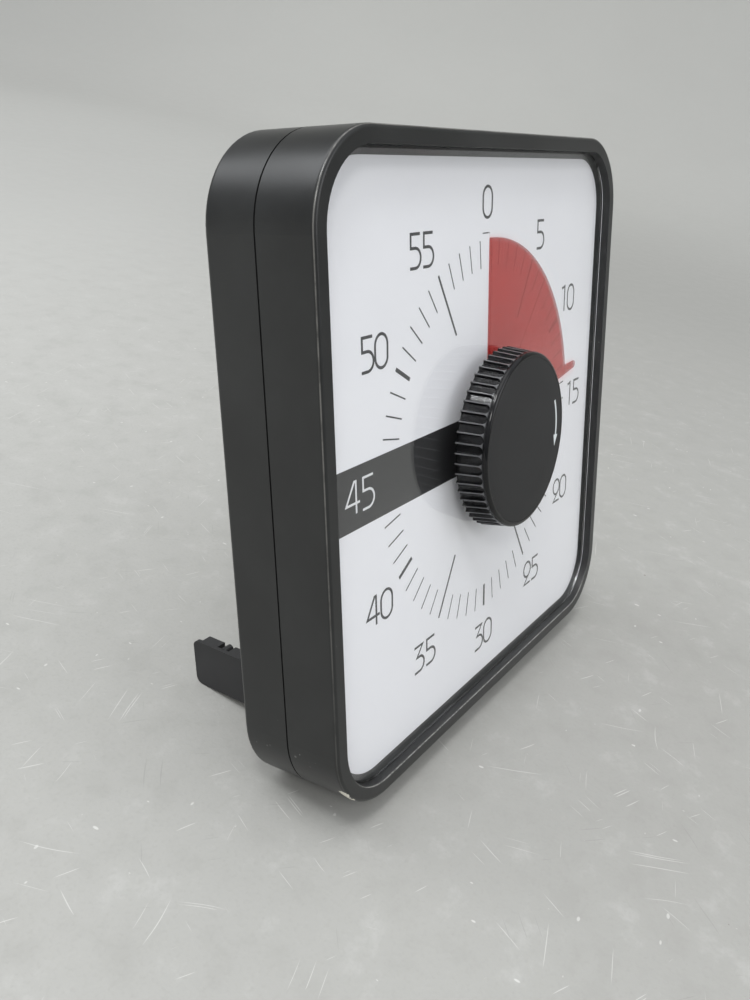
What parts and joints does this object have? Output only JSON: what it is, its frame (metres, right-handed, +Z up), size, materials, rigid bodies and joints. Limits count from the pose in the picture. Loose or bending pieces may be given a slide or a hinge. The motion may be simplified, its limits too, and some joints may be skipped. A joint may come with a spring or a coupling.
{
  "type": "kitchen timer",
  "caption": "Square countdown timer with a red film dial under a clear window, a big ribbed setting knob, a battery movement inside, and fold-out rear legs.",
  "frame": {"origin": "on the surface that the timer stands on, below the middle of its outline", "axes": "+X to the right of the dial as a viewer sees it, +Y to the back, +Z up; the case leans back 14.2 degrees"},
  "size_m": [0.19, 0.0856, 0.1932],
  "materials": {
    "case_black": "satin black moulded shell",
    "leg_black": "satin black moulded leg",
    "knob_black": "polished black with ribs",
    "cap_black": "flat matte disc with a white printed arrow",
    "lens_clear": "clear polished window",
    "dial_white": "matte white card with printed minutes",
    "film_red": "thin translucent red film",
    "inner_plastic": "plain dark moulding",
    "movement_grey": "plain dark grey moulding",
    "gear_white": "smooth off-white gear moulding",
    "screw_steel": "zinc-plated steel",
    "arbor_steel": "turned steel",
    "spring_steel": "nickel-plated spring steel",
    "motor_iron": "soft iron sheet",
    "coil_copper": "enamelled copper winding",
    "board_green": "green lacquered laminate",
    "chip_black": "black moulded chip",
    "crystal_can": "drawn metal can",
    "contact_brass": "thin brass sheet",
    "battery_can": "plain foil-wrapped cell"
  },
  "bodies": {
    "case": {"front_housing": "case_black", "rear_housing": "case_black", "lens": "lens_clear", "dial_card": "dial_white", "movement_case": "movement_grey", "movement_cover": "movement_grey", "movement_screws": "screw_steel", "stator": "motor_iron", "coil": "coil_copper", "circuit_board": "board_green", "timer_chip": "chip_black", "quartz_crystal": "crystal_can", "alarm_contact": "contact_brass", "piezo_buzzer": "contact_brass", "switch_body": "inner_plastic", "battery": "battery_can", "contact_spring": "spring_steel", "contact_plates": "spring_steel", "case_screws": "screw_steel", "leg_pins": "screw_steel"},
    "knob": {"knob": "knob_black", "knob_cap": "cap_black", "knob_screw": "screw_steel", "arbor": "arbor_steel", "film_hub": "inner_plastic", "film_rear": "film_red", "clutch_washer": "spring_steel", "arbor_clip": "spring_steel", "alarm_cam": "inner_plastic"},
    "film_leaf_1": {"film_leaf_1": "film_red"},
    "film_leaf_2": {"film_leaf_2": "film_red"},
    "centre_wheel": {"centre_wheel": "gear_white"},
    "third_wheel": {"third_wheel": "gear_white"},
    "second_wheel": {"second_wheel": "gear_white"},
    "first_wheel": {"first_wheel": "gear_white"},
    "rotor": {"rotor": "gear_white"},
    "battery_door": {"battery_door": "case_black"},
    "switch_knob": {"switch_knob": "knob_black"},
    "leg_left": {"leg_left": "leg_black"},
    "leg_right": {"leg_right": "leg_black"}
  },
  "joints": [
    {"name": "knob_turn", "type": "hinge", "parent": "case", "child": "knob", "pos_m": [0, -0.01424, 0.10039], "axis": [0, 0.9694, -0.2453], "range_deg": [-81.4, 278.6]},
    {"name": "film_leaf_1_turn", "type": "hinge", "parent": "case", "child": "film_leaf_1", "pos_m": [0, -0.01424, 0.10039], "axis": [0, 0.9694, -0.2453], "range_deg": [-40.7, 139.3], "deforming": ["film_leaf_1"]},
    {"name": "film_leaf_2_turn", "type": "hinge", "parent": "film_leaf_1", "child": "film_leaf_2", "pos_m": [0, -0.01424, 0.10039], "axis": [0, 0.9694, -0.2453], "range_deg": [-40.7, 139.3], "deforming": ["film_leaf_2"]},
    {"name": "rotor_spin", "type": "hinge", "parent": "case", "child": "rotor", "pos_m": [0.00887, -0.00579, 0.11382], "axis": [0, 0.9694, -0.2453], "continuous": true},
    {"name": "first_wheel_spin", "type": "hinge", "parent": "case", "child": "first_wheel", "pos_m": [-0.00099, -0.0049, 0.1173], "axis": [0, 0.9694, -0.2453], "continuous": true},
    {"name": "second_wheel_spin", "type": "hinge", "parent": "case", "child": "second_wheel", "pos_m": [-0.01149, -0.0049, 0.1173], "axis": [0, 0.9694, -0.2453], "continuous": true},
    {"name": "third_wheel_spin", "type": "hinge", "parent": "case", "child": "third_wheel", "pos_m": [-0.01429, -0.00746, 0.10719], "axis": [0, 0.9694, -0.2453], "continuous": true},
    {"name": "centre_wheel_spin", "type": "hinge", "parent": "case", "child": "centre_wheel", "pos_m": [0, -0.00949, 0.09919], "axis": [0, 0.9694, -0.2453], "continuous": true},
    {"name": "battery_door_swing", "type": "hinge", "parent": "case", "child": "battery_door", "pos_m": [0, 0.00466, 0.0544], "axis": [1, 0, 0], "range_deg": [0, 75]},
    {"name": "volume_slide", "type": "slide", "parent": "case", "child": "switch_knob", "axis": [1, 0, 0], "range_m": [-0.003, 0.003]},
    {"name": "leg_left_fold", "type": "hinge", "parent": "case", "child": "leg_left", "pos_m": [-0.0666, -0.00903, 0.01173], "axis": [0, 0.2453, 0.9694], "range_deg": [-90, 0]},
    {"name": "leg_right_fold", "type": "hinge", "parent": "case", "child": "leg_right", "pos_m": [0.0666, -0.00903, 0.01173], "axis": [0, 0.2453, 0.9694], "range_deg": [0, 90]}
  ],
  "couplings": [
    {"joint": "film_leaf_1_turn", "follows": "knob_turn", "ratio": 0.5},
    {"joint": "film_leaf_2_turn", "follows": "knob_turn", "ratio": 0.5},
    {"joint": "first_wheel_spin", "follows": "rotor_spin", "ratio": -0.16667},
    {"joint": "second_wheel_spin", "follows": "rotor_spin", "ratio": 0.027778},
    {"joint": "third_wheel_spin", "follows": "rotor_spin", "ratio": -0.0055556},
    {"joint": "centre_wheel_spin", "follows": "rotor_spin", "ratio": 0.00055556}
  ]
}
